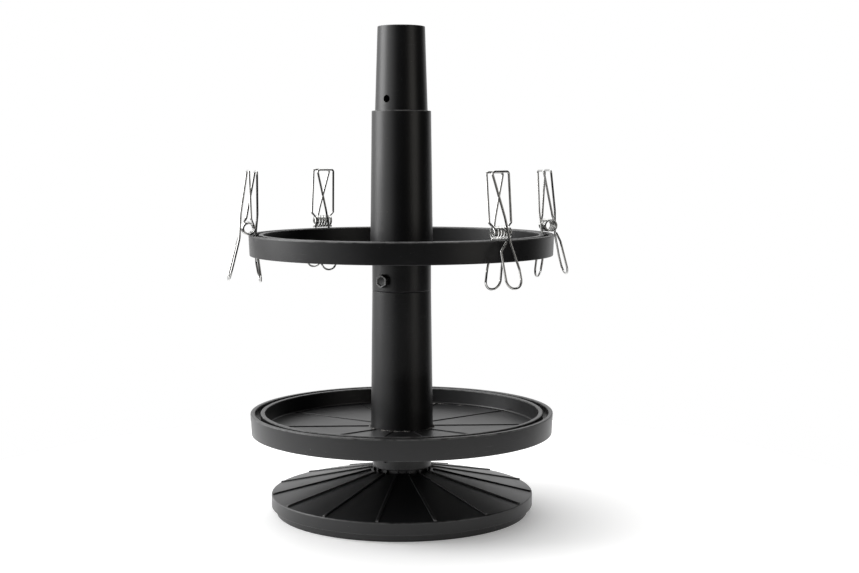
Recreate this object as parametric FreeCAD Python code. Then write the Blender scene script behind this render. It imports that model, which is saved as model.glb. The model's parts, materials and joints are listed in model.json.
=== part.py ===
import FreeCAD, Part
import math
import os

# Free-standing two-tray bird feeder. Millimetres, +Z up, column axis on Z, floor at Z = 0.
# The front of the feeder faces -Y and its right side +X.

os.makedirs("parts", exist_ok=True)

V = FreeCAD.Vector
UP = V(0, 0, 1)

# ---- driving dimensions: weighted base ------------------------------------------------
base_radius = 130.0          # outside of the rim band
base_foot_radius = 125.0     # outside of the foot ring under the band
base_band_bottom = 7.0       # lower edge of the rim band
base_band_top = 19.0         # where the cone starts at the rim
base_cone_rise = 21.5        # height gained from the rim to the neck
base_wall = 3.0
base_rib_count = 15
base_rib_width = 2.6
base_rib_height = 1.2
base_collar_width = 4.5      # flatter ground round the neck, outside the tube
base_seat_height = 4.0       # from the cone's top to the seat of the first tube
base_gusset_inset = 0.9      # rib tops that carry the first tube, inside its outer wall
base_stiffener_count = 6
base_stiffener_width = 2.4

# ---- driving dimensions: one stacking module ------------------------------------------
module_pitch = 176.0         # seat to seat
spigot_length = 81.5
spigot_root_radius = 25.8
spigot_tip_radius = 23.2
spigot_wall = 2.6
socket_clearance = 0.3       # bore over the spigot it stands on, at the mouth
socket_wall = 3.0            # at the mouth
tube_shoulder = 1.8          # step out above the tray floor
tube_top_wall = 3.4
seat_web = 5.0               # thickness of the shoulder inside, under the seat
edge_round = 0.5
cross_hole_radius = 3.6
cross_hole_height = 11.0     # above each seat
cross_hole_azimuth = -126.0  # degrees from +X

# ---- driving dimensions: tray ---------------------------------------------------------
tray_radius = 150.0
tray_floor_height = 39.8     # top of the floor above the tube's lower end
tray_floor_thickness = 2.5
rim_height = 20.4
rim_above_floor = 16.0
ring_wall = 4.2              # outer ring
slot_width = 5.8             # open groove between the two rings
inner_wall = 4.2
rim_draft = 0.9              # how much the outer ring narrows at its lower edge
tray_rib_count = 10
tray_rib_width = 1.3
tray_rib_height = 0.8
slot_web_thickness = 3.0
slot_web_drop = 11.0         # webs lie this far below the rim's top
glue_gap = 0.05              # tray hole over the tube
web_gap = 0.1                # web ends to the inner wall

# ---- driving dimensions: locking bolt -------------------------------------------------
bolt_radius = 3.0
bolt_head_flats = 11.5
bolt_head_length = 6.5
bolt_head_recess = 1.4
bolt_tail = 3.0              # thread past the nut
nut_length = 5.0
nut_bore_clearance = 0.07
face_clearance = 0.3         # bolt head and nut to the curved tube

# ---- driving dimensions: wire clips ---------------------------------------------------
wire_radius = 1.1
coil_radius = 5.4            # to the middle of the wire
coil_pitch = 3.3
coil_turns = 6
coil_end_step = 0.9          # the levers' part turns lie this far outside the coil's ends
coil_gap = 4.0               # degrees left open between the coil and a lever's part turn
part_turn = 120.0            # degrees of coil that belong to each lever
leg_start = 2.6              # straight run from the part turn to the leg's first bend
leg_foot_x = 13.8            # the leg's second bend, outside the coil's end
leg_foot_y = 1.0
leg_foot_height = 9.5
jaw_height = 55.2
jaw_half_width = 9.9
jaw_half_gap = 3.8
jaw_corner_bend = 2.6
handle_depth = 50.5
loop_outer_x = 9.3           # handle loop, the side that the long diagonal runs into
loop_inner_x = 8.6
pass_clearance = 0.35        # long diagonal to the coil
handle_tip = 15.5            # both handles, from the coil's axis
handle_curves = {"outer": 1.0, "inner": 1.6}  # 1 is straight; more keeps near the axis longer
coil_rest_clearance = 0.3    # coil to the top of the ring
clip_azimuths = {"front": -55.3, "right": 10.0, "back": 122.6, "left": 190.0}
clip_tilts = {"front": 5.0, "right": 4.5, "back": 3.0, "left": 4.5}  # jaws inwards, degrees

# ---- places worked out from the sizes -------------------------------------------------
socket_radius = spigot_root_radius + socket_clearance + socket_wall
tube_foot_radius = socket_radius + tube_shoulder
tube_top_radius = socket_radius
base_neck_radius = socket_radius + base_collar_width
base_cone_top = base_band_top + base_cone_rise
seat_1 = base_cone_top + base_seat_height
seat_2 = seat_1 + module_pitch
ring_inner_radius = tray_radius - ring_wall
slot_inner_radius = ring_inner_radius - slot_width
dish_radius = slot_inner_radius - inner_wall
rim_top = tray_floor_height + rim_above_floor
rim_bottom = rim_top - rim_height
coil_half_length = coil_turns * coil_pitch / 2 + coil_end_step
wire_pass = coil_radius + 2 * wire_radius + pass_clearance
clip_radius = (ring_inner_radius + slot_inner_radius) / 2 + wire_pass
clip_height = seat_2 + rim_top + coil_radius + wire_radius + coil_rest_clearance


def revolve(points):
    """Solid of revolution about Z from a closed outline of (radius, height) points."""
    corners = [V(r, 0, z) for r, z in points]
    face = Part.Face(Part.makePolygon(corners + corners[:1]))
    return face.revolve(V(0, 0, 0), UP, 360)


def turned(shape, degrees):
    """Copy of a shape turned about the column's axis."""
    copy = shape.copy()
    copy.rotate(V(0, 0, 0), UP, degrees)
    return copy


def ring_of(shape, count, start=0.0):
    """The same shape count times round the column's axis."""
    return [turned(shape, start + i * 360.0 / count) for i in range(count)]


def radial_rod(radius, near, far, height, azimuth):
    """Cylinder lying along a radius of the column, from near to far of the axis."""
    rod = Part.makeCylinder(radius, far - near, V(near, 0, height), V(1, 0, 0))
    return turned(rod, azimuth)


def hexagon(flats, near, far, height, azimuth):
    """Hexagonal prism lying along a radius, with a corner up."""
    corner = flats / math.sqrt(3)
    angles = [math.radians(60 * i) for i in range(6)]
    points = [V(near, corner * math.sin(a), height + corner * math.cos(a)) for a in angles]
    face = Part.Face(Part.makePolygon(points + points[:1]))
    return turned(face.extrude(V(far - near, 0, 0)), azimuth)


def cross_holes(shape, height):
    """Both cross holes through a tube at one height."""
    reach = tube_foot_radius + 10
    return shape.cut(radial_rod(cross_hole_radius, -reach, reach, height, cross_hole_azimuth))


def spigot_outline(seat):
    """Outer and inner corners of a spigot that stands on a seat."""
    top = seat + spigot_length
    outer = [
        (spigot_root_radius, seat),
        (spigot_tip_radius, top - edge_round),
        (spigot_tip_radius - edge_round, top),
    ]
    inner = [
        (spigot_tip_radius - spigot_wall, top),
        (spigot_root_radius - spigot_wall - 0.3, seat - 1.0),
    ]
    return outer, inner


def make_base():
    """Conical base with its raised ribs, foot ring and spigot, hollow underneath."""
    outer, inner = spigot_outline(seat_1)
    band_inner = base_foot_radius - base_wall
    slope = base_cone_rise / (base_radius - base_neck_radius)
    roof = base_band_top - base_wall
    outline = [
        (base_foot_radius - 0.6, 0),
        (base_foot_radius, 0.6),
        (base_foot_radius, base_band_bottom),
        (base_radius - 0.6, base_band_bottom),
        (base_radius, base_band_bottom + 0.6),
        (base_radius, base_band_top - 1.0),
        (base_radius - 1.0, base_band_top + 0.2),
        (base_neck_radius, base_cone_top),
        (spigot_root_radius, base_cone_top + 0.6),
    ]
    tube_inner = spigot_root_radius - spigot_wall - 0.4
    under = [
        (tube_inner, 6.0),
        (tube_inner + base_wall, 6.0),
        (tube_inner + base_wall, base_cone_top - base_wall),
        (band_inner, base_cone_top - base_wall - (band_inner - tube_inner - base_wall) * slope),
        (band_inner, 0),
    ]
    shell = revolve(outline + outer + inner + under)
    reach = base_radius - 1.0
    gusset = socket_radius - base_gusset_inset
    rib_points = [
        V(reach, 0, base_band_top - 0.4),
        V(reach, 0, base_band_top + 0.3),
        V(reach - 1.5, 0, base_band_top + 1.5 * slope + base_rib_height),
        V(base_neck_radius, 0, base_cone_top + base_rib_height),
        V(gusset + 0.8, 0, base_cone_top + base_rib_height + 0.4),
        V(gusset, 0, seat_1),
        V(spigot_root_radius - 1.0, 0, seat_1),
        V(spigot_root_radius - 1.0, 0, base_cone_top - 1.0),
    ]
    rib = Part.Face(Part.makePolygon(rib_points + rib_points[:1]))
    rib = rib.extrude(V(0, base_rib_width, 0))
    rib.translate(V(0, -base_rib_width / 2, 0))
    step = 360.0 / base_rib_count
    shell = shell.multiFuse(ring_of(rib, base_rib_count, -90 + step / 2))
    stiff_points = [
        V(tube_inner + base_wall - 1.0, 0, 8.0),
        V(band_inner + 1.0, 0, 4.0),
        V(band_inner + 1.0, 0, roof - 2.0),
        V(tube_inner + base_wall - 1.0, 0, base_cone_top - base_wall + 1.0),
    ]
    stiffener = Part.Face(Part.makePolygon(stiff_points + stiff_points[:1]))
    stiffener = stiffener.extrude(V(0, base_stiffener_width, 0))
    stiffener.translate(V(0, -base_stiffener_width / 2, 0))
    shell = shell.multiFuse(ring_of(stiffener, base_stiffener_count, 30))
    return cross_holes(shell, seat_1 + cross_hole_height)


def make_column(seat):
    """Tapered tube: socket below, shoulder for the tray, seat and spigot on top."""
    outer, inner = spigot_outline(seat + module_pitch)
    mouth = spigot_root_radius + socket_clearance
    top = seat + module_pitch
    outline = [
        (mouth + edge_round, seat),
        (socket_radius - edge_round, seat),
        (socket_radius, seat + edge_round),
        (socket_radius, seat + tray_floor_height),
        (tube_foot_radius, seat + tray_floor_height),
        (tube_top_radius, top - edge_round),
        (tube_top_radius - edge_round, top),
    ]
    under = [
        (spigot_root_radius - spigot_wall - 0.3, top - seat_web),
        (tube_top_radius - tube_top_wall, top - seat_web - 3.0),
        (mouth, seat + edge_round),
    ]
    column = revolve(outline + outer + inner + under)
    column = cross_holes(column, seat + cross_hole_height)
    return cross_holes(column, top + cross_hole_height)


def make_tray(seat):
    """Dish: floor with thin ribs and a standing wall, hung on the tube's shoulder."""
    floor = seat + tray_floor_height
    hole = socket_radius + glue_gap
    outline = [
        (hole, floor),
        (hole, floor - tray_floor_thickness),
        (dish_radius - 2.0, floor - tray_floor_thickness),
        (dish_radius, seat + rim_bottom + 0.4),
        (dish_radius + 0.4, seat + rim_bottom),
        (slot_inner_radius - 0.4, seat + rim_bottom),
        (slot_inner_radius, seat + rim_bottom + 0.4),
        (slot_inner_radius, seat + rim_top - 0.8),
        (slot_inner_radius - 0.8, seat + rim_top),
        (dish_radius + 0.8, seat + rim_top),
        (dish_radius, seat + rim_top - 0.8),
        (dish_radius, floor + 1.5),
        (dish_radius - 1.5, floor),
    ]
    dish = revolve(outline)
    start = tube_foot_radius + 2.0
    length = dish_radius - 1.0 - start
    rib = Part.makeBox(length, tray_rib_width, tray_rib_height + 0.5)
    rib.translate(V(start, -tray_rib_width / 2, floor - 0.5))
    return dish.multiFuse(ring_of(rib, tray_rib_count))


def make_slot_ring(seat):
    """Outer ring that the clips straddle, held by webs across the open groove."""
    low = seat + rim_bottom
    high = seat + rim_top
    outline = [
        (ring_inner_radius, low + 0.4),
        (ring_inner_radius + 0.4, low),
        (tray_radius - rim_draft - 0.4, low),
        (tray_radius - rim_draft, low + 0.4),
        (tray_radius, high - 0.8),
        (tray_radius - 0.8, high),
        (ring_inner_radius + 0.8, high),
        (ring_inner_radius, high - 0.8),
    ]
    ring = revolve(outline)
    start = slot_inner_radius + web_gap
    web_height = rim_height - slot_web_drop
    web = Part.makeBox(ring_inner_radius + 1.0 - start, slot_web_thickness, web_height)
    web.translate(V(start, -slot_web_thickness / 2, low))
    return ring.multiFuse(ring_of(web, tray_rib_count))


def make_bolt():
    """Hexagon-headed bolt through both tube walls, with a dished head."""
    height = seat_2 + cross_hole_height
    face = socket_radius + face_clearance
    end = face + bolt_head_length
    head = hexagon(bolt_head_flats, face, end, height, cross_hole_azimuth)
    chamfer = Part.makeCone(bolt_head_flats / 2 - 0.2 + bolt_head_length, bolt_head_flats / 2 - 0.2,
                            bolt_head_length, V(face, 0, height), V(1, 0, 0))
    head = head.common(turned(chamfer, cross_hole_azimuth))
    dish = Part.makeCone(bolt_head_flats / 2 - 2.2, bolt_head_flats / 2 - 1.4, bolt_head_recess,
                         V(end - bolt_head_recess, 0, height), V(1, 0, 0))
    head = head.cut(turned(dish, cross_hole_azimuth))
    tail = -(face + nut_length + bolt_tail)
    shank = radial_rod(bolt_radius, tail, face + 1.0, height, cross_hole_azimuth)
    return head.fuse(shank)


def make_nut():
    """Hexagon nut on the bolt's far end."""
    height = seat_2 + cross_hole_height
    face = socket_radius + face_clearance
    azimuth = cross_hole_azimuth + 180
    nut = hexagon(bolt_head_flats, face, face + nut_length, height, azimuth)
    bore = radial_rod(bolt_radius + nut_bore_clearance, face - 1, face + nut_length + 1, height, azimuth)
    return nut.cut(bore)


def bent_wire(vertices, lead=None):
    """Round wire along straight runs joined by tangent arcs.

    Each vertex is (x, y, z, bend radius). lead is an arc edge that comes before the first vertex.
    """
    points = [V(x, y, z) for x, y, z, bend in vertices]
    edges = [] if lead is None else [lead]
    start = points[0]
    for i in range(1, len(points) - 1):
        back = (points[i - 1] - points[i]).normalize()
        ahead = (points[i + 1] - points[i]).normalize()
        half = back.getAngle(ahead) / 2
        bend = vertices[i][3]
        trim = bend / math.tan(half)
        enter = points[i] + back * trim
        leave = points[i] + ahead * trim
        centre = points[i] + (back + ahead).normalize() * (bend / math.sin(half))
        middle = centre + (points[i] - centre).normalize() * bend
        edges.append(Part.makeLine(start, enter))
        edges.append(Part.Arc(enter, middle, leave).toShape())
        start = leave
    edges.append(Part.makeLine(start, points[-1]))
    path = Part.Wire(edges)
    first = edges[0]
    origin = first.valueAt(first.FirstParameter)
    tangent = first.tangentAt(first.FirstParameter)
    section = Part.Wire(Part.makeCircle(wire_radius, origin, tangent))
    return path.makePipeShell([section], True, False)


def make_lever(curve):
    """One lever of a clip in the clip's own frame: X along the coil, Y outwards, Z up.

    The wire goes a third of a turn round the coil's inner side, steps outside the coil's end,
    rises as a leg to the jaw bar, comes down past the coil's outer side as a long diagonal and
    ends as an open handle loop. curve bends the handle.
    """
    foot = -handle_depth
    knee = -0.66 * handle_depth

    def along(z):
        """X of the long diagonal at a height."""
        part = (jaw_height - z) / (jaw_height - knee)
        return jaw_half_width - (loop_outer_x + jaw_half_width) * part

    def spread(z):
        """Y of the handle at a height below the coil."""
        low = -10.0
        part = max(0.0, (low - z) / (low - foot))
        return wire_pass + (handle_tip - wire_pass) * part ** curve

    def on_coil(degrees):
        """Point of the part turn, at an angle from the coil's lowest point."""
        angle = math.radians(degrees)
        return V(-coil_half_length, -coil_radius * math.sin(angle), -coil_radius * math.cos(angle))

    lead = Part.Arc(on_coil(0), on_coil(part_turn / 2), on_coil(part_turn)).toShape()
    start = on_coil(part_turn)
    first_bend = start + lead.tangentAt(lead.LastParameter) * leg_start
    vertices = [
        (start.x, start.y, start.z, 0),
        (first_bend.x, first_bend.y, first_bend.z, 2.0),
        (-leg_foot_x, -leg_foot_y, leg_foot_height, 2.0),
        (-jaw_half_width, jaw_half_gap, jaw_height, jaw_corner_bend),
        (jaw_half_width, jaw_half_gap, jaw_height, jaw_corner_bend),
        (along(14.0), wire_pass, 14.0, 30.0),
        (along(-10.0), spread(-10.0), -10.0, 30.0),
        (-loop_outer_x, spread(knee), knee, 14.0),
        (-loop_outer_x, spread(foot), foot, 8.5),
        (loop_inner_x, spread(foot), foot, 8.5),
        (loop_inner_x, spread(-17.0), -17.0, 2.5),
        (0.8, wire_pass, -8.5, 0),
    ]
    return bent_wire(vertices, lead)


def make_coil():
    """Spring between the two levers, left open at the bottom at both ends."""
    turns = coil_turns - 2 * coil_gap / 360.0
    start = math.radians(-90 + coil_gap)
    helix = Part.makeHelix(coil_pitch, coil_pitch * turns, coil_radius)
    x_dir = V(0, math.cos(start), math.sin(start))
    y_dir = V(0, -math.sin(start), math.cos(start))
    turn = FreeCAD.Rotation(x_dir, y_dir, V(1, 0, 0), "ZXY")
    helix.Placement = FreeCAD.Placement(V(-coil_pitch * turns / 2, 0, 0), turn)
    path = Part.Wire(helix.Edges)
    first = path.Edges[0]
    origin = first.valueAt(first.FirstParameter)
    tangent = first.tangentAt(first.FirstParameter)
    section = Part.Wire(Part.makeCircle(wire_radius, origin, tangent))
    return path.makePipeShell([section], True, True)


def placed_clip(shape, azimuth, tilt, half_turn=False):
    """Set a clip piece on the upper tray's ring at an azimuth, with its jaws tilted inwards."""
    copy = shape.copy()
    if half_turn:
        copy.rotate(V(0, 0, 0), UP, 180)
    copy.rotate(V(0, 0, 0), V(1, 0, 0), tilt)
    copy.rotate(V(0, 0, 0), UP, -90)
    copy.translate(V(clip_radius, 0, clip_height))
    return turned(copy, azimuth)


def save(shape, node):
    """Write one sub-part as its own STEP file."""
    if len(shape.Solids) == 1:
        shape = shape.Solids[0]
    assert shape.isValid(), node
    shape.exportStep("parts/" + node + ".step")


save(make_base(), "base_shell")
for name, seat in (("lower", seat_1), ("upper", seat_2)):
    save(make_column(seat), name + "_column")
    save(make_tray(seat), name + "_tray")
    save(make_slot_ring(seat), name + "_slot_ring")
save(make_bolt(), "lock_bolt")
save(make_nut(), "lock_nut")

outer_lever = make_lever(handle_curves["outer"])
inner_lever = make_lever(handle_curves["inner"])
coil = make_coil()
for name, azimuth in clip_azimuths.items():
    tilt = clip_tilts[name]
    save(placed_clip(outer_lever, azimuth, tilt), "clip_" + name + "_outer_lever")
    save(placed_clip(inner_lever, azimuth, tilt, True), "clip_" + name + "_inner_lever")
    save(placed_clip(coil, azimuth, tilt), "clip_" + name + "_coil")
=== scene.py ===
"""Studio scene of a free-standing bird feeder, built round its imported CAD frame.

Metres, +Z up, with the column on the Z axis and the floor at Z = 0. Two stacked tube-and-tray
modules stand on a ribbed base, a bolt locks their joint, and four wire clips ride the upper rim.
"""

import json
import logging
import math
from dataclasses import dataclass, field
from enum import Enum
from typing import Any

import bmesh
import bpy
from mathutils import Matrix, Vector

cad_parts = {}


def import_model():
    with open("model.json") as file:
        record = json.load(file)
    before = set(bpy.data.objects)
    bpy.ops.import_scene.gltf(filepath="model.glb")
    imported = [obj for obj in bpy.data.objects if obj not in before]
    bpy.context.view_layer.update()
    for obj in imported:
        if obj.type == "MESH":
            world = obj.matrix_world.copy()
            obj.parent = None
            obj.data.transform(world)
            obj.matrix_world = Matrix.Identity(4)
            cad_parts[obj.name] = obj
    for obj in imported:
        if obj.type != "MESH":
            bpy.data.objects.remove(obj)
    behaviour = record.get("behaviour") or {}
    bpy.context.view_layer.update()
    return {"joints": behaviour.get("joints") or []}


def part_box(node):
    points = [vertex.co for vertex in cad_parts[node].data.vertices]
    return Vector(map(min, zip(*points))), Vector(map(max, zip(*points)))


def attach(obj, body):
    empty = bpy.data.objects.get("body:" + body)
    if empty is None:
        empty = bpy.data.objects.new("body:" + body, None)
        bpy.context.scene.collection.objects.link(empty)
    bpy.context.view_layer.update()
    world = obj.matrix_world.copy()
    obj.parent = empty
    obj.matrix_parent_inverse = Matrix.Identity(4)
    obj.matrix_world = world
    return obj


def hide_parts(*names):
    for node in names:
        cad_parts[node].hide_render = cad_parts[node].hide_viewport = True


log = logging.getLogger("bird_feeder")

MM = 0.001
# How far each clip leans in over its rim.
CLIP_TILTS = {name: math.radians(tilt) for name, tilt in
              {"front": 5.0, "right": 4.5, "back": 3.0, "left": 4.5}.items()}


class Body(Enum):
    """CAD bodies that are not a clip."""

    BASE = "base"
    TOWER = "tower"
    BOLT = "lock_bolt"
    NUT = "lock_nut"


class Slot(Enum):
    """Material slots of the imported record."""

    PLASTIC = "black_plastic"
    FASTENER = "fastener_plastic"
    WIRE = "clip_wire"


class Level(Enum):
    """The two stacked modules."""

    LOWER = "lower"
    UPPER = "upper"


class Hand(Enum):
    """The two levers of a clip, by which side of the rim their handle hangs."""

    OUTER = "outer"
    INNER = "inner"


# ---------------------------------------------------------------------------------------
# Node graph helpers
# ---------------------------------------------------------------------------------------


class Graph:
    """Thin wrapper that adds and links nodes in any node tree."""

    def __init__(self, tree: bpy.types.NodeTree) -> None:
        """Wrap a tree.

        Args:
            tree: The shader or geometry tree to fill.
        """
        self.tree = tree

    def add(self, kind: str, values: dict[Any, Any] | None = None, **props: Any) -> bpy.types.Node:
        """Add a node, set its properties, then its inputs.

        Args:
            kind: The node's Blender type name.
            values: Input name or index to a value, or to an output socket that is linked in.
            props: Properties of the node itself.

        Returns:
            The new node.
        """
        node = self.tree.nodes.new(kind)
        for name, value in props.items():
            setattr(node, name, value)
        self.feed(node, values or {})
        return node

    def feed(self, node: bpy.types.Node, values: dict[Any, Any]) -> None:
        """Set or link a node's inputs.

        Args:
            node: The node.
            values: Input name or index to a value, or to an output socket that is linked in.
        """
        for key, value in values.items():
            if isinstance(value, bpy.types.NodeSocket):
                self.tree.links.new(value, node.inputs[key])
            else:
                node.inputs[key].default_value = value

    def math(self, operation: str, first: Any, second: Any = 0.0,
             clamp: bool = False) -> bpy.types.NodeSocket:
        """Add a math node and return its output.

        Args:
            operation: The math operation's name.
            first: Value or socket.
            second: Value or socket.
            clamp: Whether the result is held between 0 and 1.

        Returns:
            The result socket.
        """
        node = self.add("ShaderNodeMath", {0: first, 1: second}, operation=operation, use_clamp=clamp)
        return node.outputs[0]

    def remap(self, value: Any, low: Any, high: Any, start: Any = 0.0, end: Any = 1.0,
              **props: Any) -> bpy.types.NodeSocket:
        """Turn the range from low to high into the range from start to end, and hold it there.

        Args:
            value: Value or socket to turn.
            low: Value that becomes start.
            high: Value that becomes end.
            start: Result at low.
            end: Result at high.
            props: Properties of the node itself.

        Returns:
            The result socket.
        """
        values = {0: value, 1: low, 2: high, 3: start, 4: end}
        return self.add("ShaderNodeMapRange", values, **props).outputs[0]

    def noise(self, place: bpy.types.NodeSocket, scale: float, detail: float = 2.0) -> bpy.types.NodeSocket:
        """Add a noise texture and return its value."""
        return self.add("ShaderNodeTexNoise", {"Vector": place, "Scale": scale, "Detail": detail}).outputs[0]

    def tint(self, part: Any, first: Any, second: Any) -> bpy.types.NodeSocket:
        """Mix two colours, each a triple or a socket.

        Args:
            part: Share of the second colour.
            first: Colour at 0.
            second: Colour at 1.

        Returns:
            The colour socket.
        """
        first, second = (c if isinstance(c, bpy.types.NodeSocket) else (*c, 1.0) for c in (first, second))
        return self.add("ShaderNodeMix", {0: part, 6: first, 7: second}, data_type="RGBA").outputs[2]

    def sweep(self, path: bpy.types.Node, section: bpy.types.Node) -> bpy.types.Node:
        """Sweep a section along a path, with closed ends."""
        return self.add("GeometryNodeCurveToMesh",
                        {0: path.outputs[0], 1: section.outputs[0], "Fill Caps": True})


# ---------------------------------------------------------------------------------------
# Finishes
# ---------------------------------------------------------------------------------------


@dataclass(frozen=True)
class Finish:
    """A procedural finish. Subclasses fill the shader."""

    name: str

    def build(self) -> bpy.types.Material:
        """Make the material.

        Returns:
            The new material.
        """
        material = bpy.data.materials.new(self.name)
        material.use_nodes = True
        graph = Graph(material.node_tree)
        graph.tree.nodes.clear()
        shader = graph.add("ShaderNodeBsdfPrincipled")
        graph.add("ShaderNodeOutputMaterial", {"Surface": shader.outputs[0]})
        self.fill(graph, shader, graph.add("ShaderNodeTexCoord").outputs["Object"])
        return material

    def fill(self, graph: Graph, shader: bpy.types.Node, place: bpy.types.NodeSocket) -> None:
        """Wire the finish into the shader.

        Args:
            graph: The material's graph.
            shader: Its Principled node.
            place: Object coordinates, in metres.
        """
        raise NotImplementedError


@dataclass(frozen=True)
class MouldedPlastic(Finish):
    """Satin injection-moulded plastic with grain, scuffs, dust specks and pale edges that are partly wear
    and partly a painted highlight.
    """

    dark: tuple[float, float, float] = (0.004, 0.004, 0.0044)
    light: tuple[float, float, float] = (0.010, 0.010, 0.011)
    # Colour of the pale edges: worn plastic, and also a painted highlight on rims.
    pale_wear_and_sheen: tuple[float, float, float] = (0.17, 0.17, 0.17)
    dust: tuple[float, float, float] = (0.32, 0.31, 0.29)
    roughness: float = 0.36
    roughness_spread: float = 0.12
    grain_scale: float = 2600.0
    grain_strength: float = 0.10
    grain_depth: float = 0.1 * MM
    scuff_stretch: tuple[float, float, float] = (75.0, 75.0, 900.0)
    scuff_amount: float = 0.4
    speck_scale: float = 210.0
    speck_size: float = 0.045
    speck_rarity: float = 0.72
    speck_strength: float = 0.55
    scuff_strength: float = 0.35
    worn_roughness: float = 0.22
    speck_roughness: float = 0.3

    def fill(self, graph: Graph, shader: bpy.types.Node, place: bpy.types.NodeSocket) -> None:
        """Wire the plastic into the shader.

        Args:
            graph: The material's graph.
            shader: Its Principled node.
            place: Object coordinates, in metres.
        """
        cloud = graph.noise(place, 26.0, 5.0)
        scuff = self.scuffs(graph, place, cloud)
        speck = self.specks(graph, place)
        # Pale edge mark from the outline's corners: partly real wear, partly a painted highlight on rims and
        # edges.
        pale_wear_and_sheen = graph.add("ShaderNodeAttribute", attribute_name="wear_and_sheen").outputs["Fac"]
        pale_wear_and_sheen = graph.math("MULTIPLY", pale_wear_and_sheen, graph.remap(graph.noise(place, 120.0, 4.0), 0.30, 0.62))
        pale = graph.math("MAXIMUM", graph.math("MULTIPLY", scuff, self.scuff_strength), pale_wear_and_sheen, clamp=True)
        colour = graph.tint(pale, graph.tint(cloud, self.dark, self.light), self.pale_wear_and_sheen)
        colour = graph.tint(graph.math("MULTIPLY", speck, self.speck_strength), colour, self.dust)
        uneven = graph.math("MULTIPLY", graph.math("SUBTRACT", cloud, 0.5), self.roughness_spread)
        rough = graph.math("ADD", self.roughness, uneven)
        rubbed = graph.math("MULTIPLY", graph.math("ADD", scuff, pale_wear_and_sheen), self.worn_roughness)
        rough = graph.math("ADD", rough, rubbed)
        dusty = graph.math("MULTIPLY", speck, self.speck_roughness)
        rough = graph.math("ADD", rough, dusty, clamp=True)
        grain = graph.noise(place, self.grain_scale)
        bump = graph.add("ShaderNodeBump", {"Strength": self.grain_strength, "Distance": self.grain_depth,
                                            "Height": grain})
        graph.feed(shader, {"Base Color": colour, "Roughness": rough, "Normal": bump.outputs[0]})

    def scuffs(self, graph: Graph, place: bpy.types.NodeSocket,
               cloud: bpy.types.NodeSocket) -> bpy.types.NodeSocket:
        """Thin level scratches that come and go in patches.

        Args:
            graph: The material's graph.
            place: Object coordinates, in metres.
            cloud: Broad noise that says where the patches are.

        Returns:
            How scuffed each point is.
        """
        stretched = graph.add("ShaderNodeMapping", {"Vector": place, "Scale": self.scuff_stretch}).outputs[0]
        streak = graph.remap(graph.noise(stretched, 1.0), 0.62, 0.72)
        patch = graph.remap(cloud, 0.48, 0.66)
        return graph.math("MULTIPLY", graph.math("MULTIPLY", streak, patch), self.scuff_amount)

    def specks(self, graph: Graph, place: bpy.types.NodeSocket) -> bpy.types.NodeSocket:
        """Sparse round specks of dust.

        Args:
            graph: The material's graph.
            place: Object coordinates, in metres.

        Returns:
            1 in a speck and 0 elsewhere.
        """
        cells = graph.add("ShaderNodeTexVoronoi", {"Vector": place, "Scale": self.speck_scale})
        chance = graph.add("ShaderNodeSeparateColor", {0: cells.outputs["Color"]}).outputs[0]
        near = graph.math("LESS_THAN", cells.outputs["Distance"], self.speck_size)
        return graph.math("MULTIPLY", near, graph.math("GREATER_THAN", chance, self.speck_rarity))


@dataclass(frozen=True)
class BrightWire(Finish):
    """Polished drawn steel wire with faint draw lines and a little tarnish."""

    clean: tuple[float, float, float] = (0.52, 0.52, 0.51)
    tarnish: tuple[float, float, float] = (0.20, 0.18, 0.16)
    tarnish_strength: float = 0.6
    roughness: float = 0.07
    tarnish_roughness: float = 0.22
    line_strength: float = 0.06
    line_depth: float = 0.05 * MM

    def fill(self, graph: Graph, shader: bpy.types.Node, place: bpy.types.NodeSocket) -> None:
        """Wire the steel into the shader.

        Args:
            graph: The material's graph.
            shader: Its Principled node.
            place: Object coordinates, in metres.
        """
        stain = graph.remap(graph.noise(place, 190.0, 4.0), 0.55, 0.8)
        fine = graph.noise(place, 4200.0, 1.0)
        colour = graph.tint(graph.math("MULTIPLY", stain, self.tarnish_strength), self.clean, self.tarnish)
        rough = graph.math("ADD", self.roughness, graph.math("MULTIPLY", stain, self.tarnish_roughness))
        bump = graph.add("ShaderNodeBump", {"Strength": self.line_strength, "Distance": self.line_depth,
                                            "Height": fine})
        graph.feed(shader, {"Base Color": colour, "Roughness": rough, "Normal": bump.outputs[0],
                            "Metallic": 1.0})


@dataclass(frozen=True)
class WeldFlash(Finish):
    """Pale chalky flash squeezed out where the tube meets the tray floor."""

    pale: tuple[float, float, float] = (0.62, 0.60, 0.57)
    dark: tuple[float, float, float] = (0.03, 0.03, 0.03)
    roughness: float = 0.7
    lump_strength: float = 0.5
    lump_depth: float = 0.3 * MM

    def fill(self, graph: Graph, shader: bpy.types.Node, place: bpy.types.NodeSocket) -> None:
        """Wire the flash into the shader.

        Args:
            graph: The material's graph.
            shader: Its Principled node.
            place: Object coordinates, in metres.
        """
        cloud = graph.noise(place, 90.0, 6.0)
        colour = graph.tint(graph.remap(cloud, 0.44, 0.60), self.dark, self.pale)
        bump = graph.add("ShaderNodeBump", {"Strength": self.lump_strength, "Distance": self.lump_depth,
                                            "Height": cloud})
        graph.feed(shader, {"Base Color": colour, "Normal": bump.outputs[0], "Roughness": self.roughness})


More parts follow.
